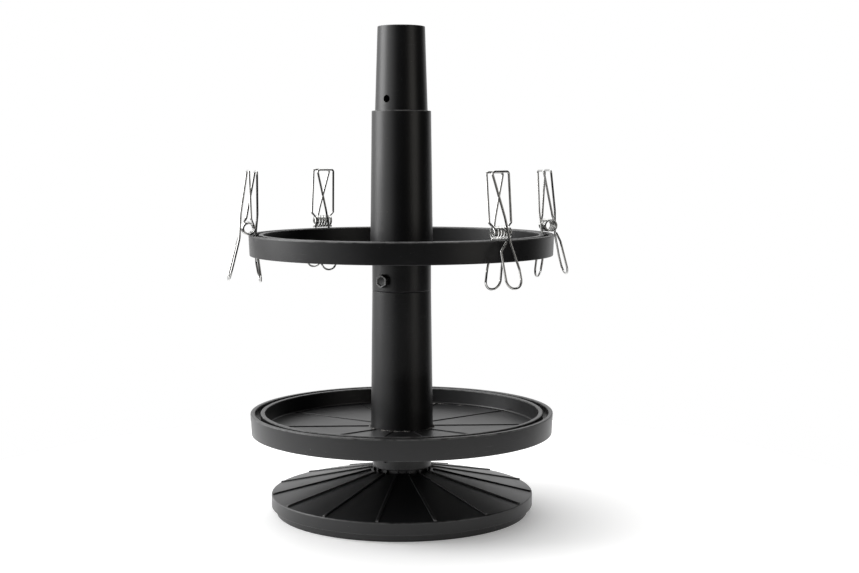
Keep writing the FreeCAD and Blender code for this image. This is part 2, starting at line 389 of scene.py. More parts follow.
@dataclass(frozen=True)
class PaperFloor(Finish):
    """Round white paper floor with a painted glow: emission, fainter under the feeder so soft shadows still
    show and stronger towards the edge, where it is pure white.
    """

    white: tuple[float, float, float] = (0.93, 0.93, 0.93)
    shade: tuple[float, float, float] = (0.90, 0.90, 0.90)
    glow_near: float = 0.26
    glow_far: float = 0.45
    fade_from: float = 0.13
    fade_to: float = 0.25
    roughness: float = 0.9

    def fill(self, graph: Graph, shader: bpy.types.Node, place: bpy.types.NodeSocket) -> None:
        """Wire the paper into the shader.

        Args:
            graph: The material's graph.
            shader: Its Principled node.
            place: Object coordinates, in metres.
        """
        colour = graph.tint(graph.noise(place, 3.0, 3.0), self.white, self.shade)
        reach = graph.add("ShaderNodeVectorMath", {0: place}, operation="LENGTH").outputs["Value"]
        # Painted glow: emission that lifts the floor's shadows and brightens it to pure white towards its
        # edge.
        glow = graph.remap(reach, self.fade_from, self.fade_to, self.glow_near, self.glow_far)
        graph.feed(shader, {"Base Color": colour, "Roughness": self.roughness, "Emission Strength": glow,
                            "Emission Color": (1.0, 1.0, 1.0, 1.0)})


# ---------------------------------------------------------------------------------------
# Mesh helpers
# ---------------------------------------------------------------------------------------


@dataclass(frozen=True)
class Corner:
    """One corner of a lathe outline."""

    radius: float
    height: float
    bend: float = 0.0
    # Pale edge mark at this corner, partly wear and partly a painted highlight.
    wear_and_sheen: float = 0.0


def finish_piece(mesh: bpy.types.Mesh, name: str, body: str,
                 replaces: tuple[str, ...] = ()) -> None:
    """Link a finished mesh as a piece that rides on a body.

    Args:
        mesh: The finished mesh, in place, with its material.
        name: The piece's name.
        body: The CAD body it rides on.
        replaces: CAD nodes that it stands for.
    """
    mesh.name = name
    piece = bpy.data.objects.new(name, mesh)
    bpy.context.scene.collection.objects.link(piece)
    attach(piece, body)
    if replaces:
        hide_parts(*replaces)
    log.info("%s: %d faces on %s", name, len(mesh.polygons), body)


def baked_mesh(host: bpy.types.Object) -> bpy.types.Mesh:
    """Turn an object with modifiers into a plain mesh and remove the object.

    Args:
        host: The object.

    Returns:
        A mesh with every modifier applied.
    """
    graph = bpy.context.evaluated_depsgraph_get()
    mesh = bpy.data.meshes.new_from_object(host.evaluated_get(graph), depsgraph=graph)
    bpy.data.objects.remove(host)
    return mesh


def smooth(mesh: bpy.types.Mesh, crease: float = 32.0) -> None:
    """Shade a mesh smooth, but leave edges hard that turn more than crease degrees."""
    mesh.polygons.foreach_set("use_smooth", [True] * len(mesh.polygons))
    mesh.set_sharp_from_angle(angle=math.radians(crease))


def rounded_outline(corners: list[Corner]) -> list[tuple[float, float, float]]:
    """Round a closed outline's corners and add support points beside them.

    Args:
        corners: The outline's corners, in order.

    Returns:
        (radius, height, pale edge mark) for each point; the mark is partly wear and partly a painted
        highlight.
    """
    steps = 5
    support = 0.5 * MM
    count = len(corners)
    spots = [Vector((corner.radius, corner.height)) for corner in corners]
    arms = [(spots[i - 1] - spots[i], spots[(i + 1) % count] - spots[i]) for i in range(count)]
    trims: list[float] = []
    for corner, (back, ahead) in zip(corners, arms):
        half = back.angle(ahead, math.pi) / 2
        wanted = corner.bend / math.tan(half) if half < math.radians(89) else 0.0
        trims.append(min(wanted, 0.45 * back.length, 0.45 * ahead.length))
    points: list[tuple[float, float, float]] = []
    for i, (corner, here, (back, ahead)) in enumerate(zip(corners, spots, arms)):
        trim = trims[i]
        if back.length - trim - trims[i - 1] > 3 * support:
            side = here + back.normalized() * (trim + support)
            points.append((side.x, side.y, 0.0))
        if trim > 0:
            enter, leave = here + back.normalized() * trim, here + ahead.normalized() * trim
            for k in range(steps + 1):
                t = k / steps
                spot = enter * (1 - t) ** 2 + here * 2 * t * (1 - t) + leave * t ** 2
                points.append((spot.x, spot.y, corner.wear_and_sheen))
        else:
            points.append((here.x, here.y, corner.wear_and_sheen))
        if ahead.length - trim - trims[(i + 1) % count] > 3 * support:
            side = here + ahead.normalized() * (trim + support)
            points.append((side.x, side.y, 0.0))
    return points


def lathe(corners: list[Corner], segments: int = 240) -> bpy.types.Mesh:
    """Turn a closed outline about Z, keeping each corner's pale edge mark, partly wear and partly a painted
    highlight, in a point attribute.

    Args:
        corners: The closed outline, with no point on the axis.
        segments: Facets round the axis.

    Returns:
        A closed, smooth-shaded mesh.
    """
    outline = rounded_outline(corners)
    rows = len(outline)
    verts = []
    for s in range(segments):
        angle = 2 * math.pi * s / segments
        verts.extend((r * math.cos(angle), r * math.sin(angle), z) for r, z, wear_and_sheen in outline)
    faces = []
    for s in range(segments):
        a, b = s * rows, ((s + 1) % segments) * rows
        faces.extend((a + i, b + i, b + (i + 1) % rows, a + (i + 1) % rows) for i in range(rows))
    mesh = bpy.data.meshes.new("lathe")
    mesh.from_pydata(verts, [], faces)
    wear_and_sheen = mesh.attributes.new("wear_and_sheen", "FLOAT", "POINT")
    wear_and_sheen.data.foreach_set("value", [w for _ in range(segments) for r, z, w in outline])
    shell = bmesh.new()
    shell.from_mesh(mesh)
    bmesh.ops.recalc_face_normals(shell, faces=shell.faces)
    shell.to_mesh(mesh)
    shell.free()
    smooth(mesh)
    return mesh


def cut(mesh: bpy.types.Mesh, cutters: list[bpy.types.Mesh]) -> bpy.types.Mesh:
    """Take cutter meshes out of a mesh.

    Args:
        mesh: The solid to cut.
        cutters: Closed meshes to take away.

    Returns:
        The cut mesh, smooth-shaded.
    """
    host = bpy.data.objects.new("host", mesh)
    bpy.context.scene.collection.objects.link(host)
    tools = []
    for cutter in cutters:
        tool = bpy.data.objects.new("cutter", cutter)
        bpy.context.scene.collection.objects.link(tool)
        tools.append(tool)
        modifier = host.modifiers.new("cut", "BOOLEAN")
        modifier.operation, modifier.solver, modifier.object = "DIFFERENCE", "EXACT", tool
    bpy.context.view_layer.update()
    result = baked_mesh(host)
    for tool in tools:
        bpy.data.objects.remove(tool)
    smooth(result)
    return result


def radial_cylinder(radius: float, reach: float, height: float, azimuth: float) -> bpy.types.Mesh:
    """Cylinder that crosses the column's axis along a radius.

    Args:
        radius: Its radius.
        reach: Half its length.
        height: Height of its axis.
        azimuth: Direction of its axis, in radians.

    Returns:
        A closed mesh.
    """
    rod = bmesh.new()
    place = Matrix.Rotation(azimuth, 4, "Z") @ Matrix.Translation((0, 0, height))
    bmesh.ops.create_cone(rod, cap_ends=True, segments=72, radius1=radius, radius2=radius, depth=2 * reach,
                          matrix=place @ Matrix.Rotation(math.pi / 2, 4, "Y"))
    mesh = bpy.data.meshes.new("rod")
    rod.to_mesh(mesh)
    rod.free()
    return mesh


# ---------------------------------------------------------------------------------------
# Geometry Nodes recipes
# ---------------------------------------------------------------------------------------


class Recipe:
    """A Geometry Nodes tree with named inputs that is baked to a plain mesh."""

    title = "recipe"
    sockets: dict[str, str] = {}

    def __init__(self) -> None:
        """Build the tree once."""
        self.tree = bpy.data.node_groups.new(self.title, "GeometryNodeTree")
        self.tree.interface.new_socket("Geometry", in_out="INPUT", socket_type="NodeSocketGeometry")
        self.keys = {name: self.tree.interface.new_socket(name, in_out="INPUT", socket_type=kind).identifier
                     for name, kind in {**self.sockets, "Material": "NodeSocketMaterial"}.items()}
        self.tree.interface.new_socket("Geometry", in_out="OUTPUT", socket_type="NodeSocketGeometry")
        self.graph = Graph(self.tree)
        self.source = self.graph.add("NodeGroupInput").outputs
        shape = self.shape(self.graph)
        real = self.graph.add("GeometryNodeRealizeInstances", {0: shape})
        dressed = self.graph.add("GeometryNodeSetMaterial",
                                 {0: real.outputs[0], "Material": self.source["Material"]})
        self.graph.add("NodeGroupOutput", {0: dressed.outputs[0]})

    def shape(self, graph: Graph) -> bpy.types.NodeSocket:
        """Make the geometry.

        Args:
            graph: The recipe's graph.

        Returns:
            The geometry socket.
        """
        raise NotImplementedError

    def bake(self, values: dict[str, Any], host_data: bpy.types.ID | None = None) -> bpy.types.Mesh:
        """Run the tree and keep its result as a plain mesh.

        Args:
            values: Input name to value.
            host_data: Curve or mesh that enters the tree, or None for an empty mesh.

        Returns:
            The baked mesh.
        """
        host = bpy.data.objects.new("recipe_host", host_data or bpy.data.meshes.new("empty"))
        modifier = host.modifiers.new(self.title, "NODES")
        modifier.node_group = self.tree
        for name, value in values.items():
            modifier[self.keys[name]] = value
        bpy.context.scene.collection.objects.link(host)
        bpy.context.view_layer.update()
        return baked_mesh(host)


class RadialBars(Recipe):
    """Round-edged bars that stand in a circle, each lying along a radius."""

    title = "radial_bars"
    sockets = {
        "Count": "NodeSocketInt",
        "Start Angle": "NodeSocketFloat",
        "Inner Radius": "NodeSocketFloat",
        "Outer Radius": "NodeSocketFloat",
        "Inner Height": "NodeSocketFloat",
        "Outer Height": "NodeSocketFloat",
        "Width": "NodeSocketFloat",
        "Depth": "NodeSocketFloat",
        "Edge": "NodeSocketFloat",
        "End Wear": "NodeSocketFloat",
    }

    def shape(self, graph: Graph) -> bpy.types.NodeSocket:
        """One bar swept along its radius, then placed round the axis.

        Args:
            graph: The recipe's graph.

        Returns:
            The geometry socket.
        """
        source = self.source
        near = graph.add("ShaderNodeCombineXYZ", {0: source["Inner Radius"], 2: source["Inner Height"]})
        far = graph.add("ShaderNodeCombineXYZ", {0: source["Outer Radius"], 2: source["Outer Height"]})
        line = graph.add("GeometryNodeCurvePrimitiveLine", {0: near.outputs[0], 1: far.outputs[0]})
        line = graph.add("GeometryNodeResampleCurve", {0: line.outputs[0], "Count": 24})
        line = graph.add("GeometryNodeSetCurveNormal", {0: line.outputs[0]}, mode="Z_UP")
        along = graph.add("GeometryNodeSplineParameter").outputs["Factor"]
        pale_wear_and_sheen = graph.remap(along, 0.955, 0.99, 0.0, source["End Wear"])
        line = graph.add("GeometryNodeStoreNamedAttribute",
                         {0: line.outputs[0], "Name": "wear_and_sheen", "Value": pale_wear_and_sheen},
                         data_type="FLOAT", domain="POINT")
        section = graph.add("GeometryNodeCurvePrimitiveQuadrilateral",
                            {"Width": source["Width"], "Height": source["Depth"]})
        section = graph.add("GeometryNodeFilletCurve",
                            {0: section.outputs[0], "Count": 4, "Radius": source["Edge"]}, mode="POLY")
        bar = graph.add("GeometryNodeSetShadeSmooth", {0: graph.sweep(line, section).outputs[0]})
        spots = graph.add("GeometryNodePoints", {0: source["Count"]})
        step = graph.math("DIVIDE", 2 * math.pi, source["Count"])
        turn = graph.math("MULTIPLY", graph.add("GeometryNodeInputIndex").outputs[0], step)
        turn = graph.math("ADD", turn, source["Start Angle"])
        turn = graph.add("ShaderNodeCombineXYZ", {2: turn})
        placed = graph.add("GeometryNodeInstanceOnPoints",
                           {0: spots.outputs[0], "Instance": bar.outputs[0], "Rotation": turn.outputs[0]})
        return placed.outputs[0]


class BentWire(Recipe):
    """Round wire along a chain of edges whose corners are bent to the "bend" attribute's radius."""

    title = "bent_wire"
    sockets = {"Wire Radius": "NodeSocketFloat"}

    def shape(self, graph: Graph) -> bpy.types.NodeSocket:
        """Fillet the path, then sweep a circle along it.

        Args:
            graph: The recipe's graph.

        Returns:
            The geometry socket.
        """
        bend = graph.add("GeometryNodeInputNamedAttribute", {"Name": "bend"}, data_type="FLOAT")
        chain = graph.add("GeometryNodeMeshToCurve", {0: self.source["Geometry"]})
        path = graph.add("GeometryNodeFilletCurve",
                         {0: chain.outputs[0], "Count": 14, "Radius": bend.outputs[0], "Limit Radius": True},
                         mode="POLY")
        section = graph.add("GeometryNodeCurvePrimitiveCircle",
                            {"Resolution": 22, "Radius": self.source["Wire Radius"]})
        return graph.sweep(path, section).outputs[0]


class WoundWire(Recipe):
    """Round wire wound into a helix that rises along Z from the X axis."""

    title = "wound_wire"
    sockets = {
        "Turns": "NodeSocketFloat",
        "Radius": "NodeSocketFloat",
        "Length": "NodeSocketFloat",
        "Wire Radius": "NodeSocketFloat",
    }

    def shape(self, graph: Graph) -> bpy.types.NodeSocket:
        """Sweep a circle along a spiral.

        Args:
            graph: The recipe's graph.

        Returns:
            The geometry socket.
        """
        source = self.source
        path = graph.add("GeometryNodeCurveSpiral",
                         {"Resolution": 56, "Rotations": source["Turns"], "Start Radius": source["Radius"],
                          "End Radius": source["Radius"], "Height": source["Length"], "Reverse": False})
        section = graph.add("GeometryNodeCurvePrimitiveCircle",
                            {"Resolution": 18, "Radius": source["Wire Radius"]})
        return graph.sweep(path, section).outputs[0]


class FlashCrumbs(Recipe):
    """Uneven beads of flash scattered along an arc."""

    title = "flash_crumbs"
    sockets = {
        "Count": "NodeSocketInt",
        "Radius": "NodeSocketFloat",
        "Height": "NodeSocketFloat",
        "Start Angle": "NodeSocketFloat",
        "Sweep": "NodeSocketFloat",
        "Bead": "NodeSocketFloat",
        "Scatter": "NodeSocketFloat",
        "Seed": "NodeSocketInt",
    }

    def shape(self, graph: Graph) -> bpy.types.NodeSocket:
        """Place beads of random size and turn on an arc.

        Args:
            graph: The recipe's graph.

        Returns:
            The geometry socket.
        """
        source = self.source
        ring = graph.add("GeometryNodeCurveArc", {"Resolution": 96, "Radius": source["Radius"],
                                                  "Start Angle": source["Start Angle"],
                                                  "Sweep Angle": source["Sweep"]})
        spots = graph.add("GeometryNodeCurveToPoints", {0: ring.outputs[0], "Count": source["Count"]},
                          mode="COUNT")
        low, high = (-1.0, -1.0, -0.03), (1.0, 1.0, 0.03)
        jitter = graph.add("FunctionNodeRandomValue", {0: low, 1: high, "Seed": source["Seed"]},
                           data_type="FLOAT_VECTOR")
        lift = graph.add("ShaderNodeCombineXYZ", {2: source["Height"]})
        shift = graph.add("ShaderNodeVectorMath", {0: jitter.outputs[0], "Scale": source["Scatter"]},
                          operation="SCALE")
        shift = graph.add("ShaderNodeVectorMath", {0: shift.outputs[0], 1: lift.outputs[0]}, operation="ADD")
        spots = graph.add("GeometryNodeSetPosition", {0: spots.outputs[0], "Offset": shift.outputs[0]})
        bead = graph.add("GeometryNodeMeshIcoSphere", {"Radius": source["Bead"], "Subdivisions": 2})
        size = graph.add("FunctionNodeRandomValue", {2: 0.25, 3: 1.0, "Seed": source["Seed"]},
                         data_type="FLOAT")
        flat = graph.add("ShaderNodeCombineXYZ", {0: size.outputs[1], 1: size.outputs[1],
                                                  2: graph.math("MULTIPLY", size.outputs[1], 0.45)})
        turn = graph.add("FunctionNodeRandomValue",
                         {0: (0, 0, 0), 1: (0.3, 0.3, 6.28), "Seed": source["Seed"]},
                         data_type="FLOAT_VECTOR")
        placed = graph.add("GeometryNodeInstanceOnPoints",
                           {0: spots.outputs[0], "Instance": bead.outputs[0], "Rotation": turn.outputs[0],
                            "Scale": flat.outputs[0]})
        real = graph.add("GeometryNodeRealizeInstances", {0: placed.outputs[0]})
        rough = graph.add("ShaderNodeTexNoise", {"Scale": 900.0})
        centred = graph.add("ShaderNodeVectorMath", {0: rough.outputs[1], 1: (0.5, 0.5, 0.5)},
                            operation="SUBTRACT")
        push = graph.add("ShaderNodeVectorMath", {0: centred.outputs[0], "Scale": source["Bead"]},
                         operation="SCALE")
        lumpy = graph.add("GeometryNodeSetPosition", {0: real.outputs[0], "Offset": push.outputs[0]})
        return lumpy.outputs[0]


# ---------------------------------------------------------------------------------------
# Sub-assemblies
# ---------------------------------------------------------------------------------------


@dataclass(frozen=True)
class BarSizes:
    """Section and spacing of a circle of radial bars."""

    count: int
    width: float
    depth: float
    edge: float
    start: float = 0.0
    end_wear: float = 0.0


@dataclass(frozen=True)
class CrumbSizes:
    """Spread of a line of flash beads."""

    count: int
    bead: float
    scatter: float
    seed: int
    start: float = 0.0
    sweep: float = 2 * math.pi


@dataclass
class Workshop:
    """Shared recipes and materials, and the ways to add the common kinds of piece."""

    plastic: bpy.types.Material
    fastener: bpy.types.Material
    wire: bpy.types.Material
    flash: bpy.types.Material
    bars: RadialBars = field(default_factory=RadialBars)
    bent: BentWire = field(default_factory=BentWire)
    wound: WoundWire = field(default_factory=WoundWire)
    crumbs: FlashCrumbs = field(default_factory=FlashCrumbs)

    def mould(self, mesh: bpy.types.Mesh, name: str, body: Body, node: str) -> None:
        """Give a mesh the black plastic and add it as a piece.

        Args:
            mesh: The finished mesh, in place.
            name: The piece's name.
            body: The CAD body it rides on.
            node: The CAD node that it stands for.
        """
        mesh.materials.clear()
        mesh.materials.append(self.plastic)
        finish_piece(mesh, name, body.value, (node,))

    def spread_bars(self, name: str, body: Body, sizes: BarSizes, near: tuple[float, float],
                    far: tuple[float, float]) -> None:
        """Add a circle of radial bars.

        Args:
            name: The piece's name.
            body: The CAD body it rides on.
            sizes: The bars' section and spacing.
            near: Radius and height of a bar's inner end.
            far: Radius and height of its outer end.
        """
        mesh = self.bars.bake({
            "Count": sizes.count, "Start Angle": sizes.start, "Inner Radius": near[0],
            "Inner Height": near[1], "Outer Radius": far[0], "Outer Height": far[1],
            "Width": sizes.width, "Depth": sizes.depth, "Edge": sizes.edge, "End Wear": sizes.end_wear,
            "Material": self.plastic})
        smooth(mesh)
        finish_piece(mesh, name, body.value)

    def scatter_crumbs(self, name: str, sizes: CrumbSizes, radius: float, height: float) -> None:
        """Add a line of flash beads on the tower.

        Args:
            name: The piece's name.
            sizes: The beads' size and spread.
            radius: Radius of the line.
            height: Height of the line.
        """
        mesh = self.crumbs.bake({
            "Count": sizes.count, "Radius": radius, "Height": height, "Start Angle": sizes.start,
            "Sweep": sizes.sweep, "Bead": sizes.bead, "Scatter": sizes.scatter, "Seed": sizes.seed,
            "Material": self.flash})
        smooth(mesh, 180)
        finish_piece(mesh, name, Body.TOWER.value)


@dataclass
class SpigotSizes:
    """Tapered spigot that a module's socket stands on."""

    root_radius: float = 25.8 * MM
    tip_radius: float = 23.2 * MM
    wall: float = 2.6 * MM
    hole_radius: float = 3.6 * MM
    hole_height: float = 11.0 * MM
    hole_azimuth: float = math.radians(-126)
    hole_margin: float = 6 * MM
    cutter_reach: float = 45 * MM

    def outer(self, seat: float, top: float) -> list[Corner]:
        """Outline up the outside and over the tip.

        Args:
            seat: Height of the spigot's foot.
            top: Height of its tip.

        Returns:
            The corners, from the foot to the inside of the tip.
        """
        slope = (self.tip_radius - self.root_radius) / (top - seat)
        rows = [Corner(self.root_radius + slope * (z - seat), z) for z in self.hole_rows(seat)]
        return [Corner(self.root_radius, seat, 0.5 * MM), *rows, Corner(self.tip_radius, top, 0.7 * MM, 0.3),
                Corner(self.tip_radius - self.wall, top, 0.6 * MM, 0.2)]

    def hole_rows(self, seat: float) -> tuple[float, float]:
        """Heights just below and above the cross holes, where extra points keep the cut clean."""
        hole = seat + self.hole_height
        return hole - self.hole_margin, hole + self.hole_margin

    def holes(self, seat: float) -> bpy.types.Mesh:
        """Cutter for the pair of cross holes above a seat."""
        height = seat + self.hole_height
        return radial_cylinder(self.hole_radius, self.cutter_reach, height, self.hole_azimuth)


@dataclass
class Base:
    """Hollow base: ribbed cone, rim band, foot ring and spigot."""

    shop: Workshop
    spigot: SpigotSizes
    band_bottom: float = 7.0 * MM
    band_top: float = 19.0 * MM
    cone_rise: float = 21.5 * MM
    foot_radius: float = 125.0 * MM
    neck_radius: float = 33.6 * MM
    gusset_radius: float = 28.2 * MM
    wall: float = 3.0 * MM
    tube_bottom: float = 6.0 * MM
    rib_count: int = 15
    rib_width: float = 2.6 * MM
    rib_height: float = 1.2 * MM
    rib_start: float = 31.0 * MM
    rib_inset: float = 1.3 * MM
    rib_edge: float = 0.45 * MM
    gusset_edge: float = 0.4 * MM

    def build(self) -> None:
        """Make the shell and its ribs."""
        low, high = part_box("base_shell")
        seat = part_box("lower_column")[0].z
        radius = high.x
        cone_top = self.band_top + self.cone_rise
        slope = self.cone_rise / (radius - self.neck_radius)
        inner = self.spigot.root_radius - self.spigot.wall - 0.4 * MM
        tube = inner + self.wall
        band = self.foot_radius - self.wall
        outline = [
            Corner(self.foot_radius, low.z, 0.6 * MM),
            Corner(self.foot_radius, self.band_bottom, 0.4 * MM),
            # The band's edges carry pale marks, partly wear and partly a painted highlight.
            Corner(radius, self.band_bottom, 0.8 * MM, 0.1),
            Corner(radius, self.band_top, 1.2 * MM, 0.3),
            Corner(self.neck_radius, cone_top, 0.8 * MM),
            Corner(self.spigot.root_radius, cone_top + 0.6 * MM, 0.3 * MM),
            *self.spigot.outer(seat, high.z),
            Corner(self.spigot.root_radius - self.spigot.wall - 0.3 * MM, seat - 1.0 * MM),
            Corner(inner, self.tube_bottom, 0.4 * MM),
            Corner(tube, self.tube_bottom, 0.4 * MM),
            Corner(tube, cone_top - self.wall, 1.0 * MM),
            Corner(band, cone_top - self.wall - (band - tube) * slope, 1.0 * MM),
            Corner(band, low.z, 0.4 * MM),
        ]
        shell = cut(lathe(outline), [self.spigot.holes(seat)])
        self.shop.mould(shell, "base_cone", Body.BASE, "base_shell")
        half_step = math.pi / self.rib_count
        near, far = self.rib_start, radius - self.rib_inset
        ribs = BarSizes(self.rib_count, self.rib_width, 2 * self.rib_height, self.rib_edge,
                        start=half_step - math.pi / 2, end_wear=0.9)
        self.shop.spread_bars("base_ribs", Body.BASE, ribs,
                              (near, cone_top - (near - self.neck_radius) * slope),
                              (far, cone_top - (far - self.neck_radius) * slope))
        middle = (cone_top + seat) / 2 - 0.5 * MM
        gussets = BarSizes(self.rib_count, self.rib_width, 2 * (seat - middle), self.gusset_edge,
                           start=half_step - math.pi / 2)
        self.shop.spread_bars("base_gussets", Body.BASE, gussets,
                              (self.spigot.root_radius - 1.0 * MM, middle),
                              (self.gusset_radius + 0.6 * MM, middle))


@dataclass
class Module:
    """One stacking module: tube, tray and outer ring."""

    shop: Workshop
    spigot: SpigotSizes
    level: Level
    pitch: float
    socket_radius: float = 29.1 * MM
    socket_clearance: float = 0.3 * MM
    foot_radius: float = 30.9 * MM
    top_radius: float = 29.1 * MM
    top_wall: float = 3.4 * MM
    seat_web: float = 5.0 * MM
    floor_height: float = 39.8 * MM
    floor_thickness: float = 2.5 * MM
    inner_wall: float = 4.2 * MM
    slot_width: float = 5.8 * MM
    ring_wall: float = 4.2 * MM
    ring_draft: float = 0.9 * MM
    rib_count: int = 10
    rib_width: float = 1.3 * MM
    rib_height: float = 0.8 * MM
    rib_depth: float = 2.4 * MM
    rib_edge: float = 0.45 * MM
    web_thickness: float = 3.0 * MM
    web_drop: float = 11.0 * MM
    web_edge: float = 0.5 * MM
    glue_gap: float = 0.05 * MM
    tube_facets: int = 192

    def node(self, part: str) -> str:
        """Name of this level's CAD node."""
        return f"{self.level.value}_{part}"

    def build(self) -> None:
        """Make the tube, the dish and the outer ring."""
        self.build_column()
        self.build_tray()
        self.build_ring()

    def build_column(self) -> None:
        """Tapered tube with its socket, shoulder, seat and spigot."""
        low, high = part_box(self.node("column"))
        seat = low.z
        top = seat + self.pitch
        floor = seat + self.floor_height
        mouth = self.spigot.root_radius + self.socket_clearance
        outline = [
            Corner(mouth, seat, 0.4 * MM),
            Corner(self.socket_radius, seat, 0.8 * MM),
            *[Corner(self.socket_radius, z) for z in self.spigot.hole_rows(seat)],
            Corner(self.socket_radius, floor),
            Corner(self.foot_radius, floor),
            Corner(self.top_radius, top, 0.8 * MM, 0.7 if self.level is Level.UPPER else 0.0),
            *self.spigot.outer(top, high.z),
            Corner(self.spigot.root_radius - self.spigot.wall - 0.3 * MM, top - self.seat_web),
            Corner(self.top_radius - self.top_wall, top - self.seat_web - 3 * MM),
        ]
        tube = cut(lathe(outline, self.tube_facets), [self.spigot.holes(seat), self.spigot.holes(top)])
        self.shop.mould(tube, self.node("tube"), Body.TOWER, self.node("column"))
        flash = CrumbSizes(150, 1.1 * MM, 0.8 * MM, seed=4 if self.level is Level.LOWER else 9)
        self.shop.scatter_crumbs(self.node("flash"), flash, self.foot_radius + 0.6 * MM, floor + 0.2 * MM)

    def build_tray(self) -> None:
        """Dish with its raised radial lines."""
        low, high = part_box(self.node("tray"))
        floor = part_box(self.node("column"))[0].z + self.floor_height
        wall = high.x
        dish = wall - self.inner_wall
        outline = [
            Corner(self.socket_radius + self.glue_gap, floor),
            Corner(self.socket_radius + self.glue_gap, floor - self.floor_thickness, 0.3 * MM),
            Corner(dish - 2 * MM, floor - self.floor_thickness, 0.6 * MM),
            Corner(dish, low.z, 0.5 * MM),
            Corner(wall, low.z, 0.5 * MM),
            # Rim top: pale marks, partly wear and partly a painted highlight.
            Corner(wall, high.z, 0.9 * MM, 0.55),
            Corner(dish, high.z, 0.9 * MM, 0.55),
            Corner(dish, floor, 1.6 * MM, 0.0),
        ]
        self.shop.mould(lathe(outline), self.node("dish"), Body.TOWER, self.node("tray"))
        height = floor + self.rib_height - self.rib_depth / 2
        ribs = BarSizes(self.rib_count, self.rib_width, self.rib_depth, self.rib_edge)
        self.shop.spread_bars(self.node("dish_ribs"), Body.TOWER, ribs,
                              (self.foot_radius + 2 * MM, height), (dish - 0.6 * MM, height))
        if self.level is Level.LOWER:
            crust = CrumbSizes(280, 0.55 * MM, 2.5 * MM, seed=6, start=math.radians(34),
                               sweep=math.radians(48))
            self.shop.scatter_crumbs(self.node("dish_crust"), crust, dish - 2.8 * MM, floor + 0.1 * MM)

    def build_ring(self) -> None:
        """Outer ring and the webs that hold it across the groove."""
        low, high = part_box(self.node("slot_ring"))
        outer = high.y
        inner = outer - self.ring_wall
        outline = [
            Corner(inner, low.z, 0.5 * MM),
            Corner(outer - self.ring_draft, low.z, 0.5 * MM, 0.15),
            # Rim top: pale marks, partly wear and partly a painted highlight.
            Corner(outer, high.z, 0.9 * MM, 0.55),
            Corner(inner, high.z, 0.9 * MM, 0.55),
        ]
        self.shop.mould(lathe(outline), self.node("ring"), Body.TOWER, self.node("slot_ring"))
        depth = high.z - low.z - self.web_drop
        middle = low.z + depth / 2
        webs = BarSizes(self.rib_count, self.web_thickness, depth, self.web_edge)
        self.shop.spread_bars(self.node("ring_webs"), Body.TOWER, webs,
                              (inner - self.slot_width + 0.1 * MM, middle), (inner + 1.0 * MM, middle))


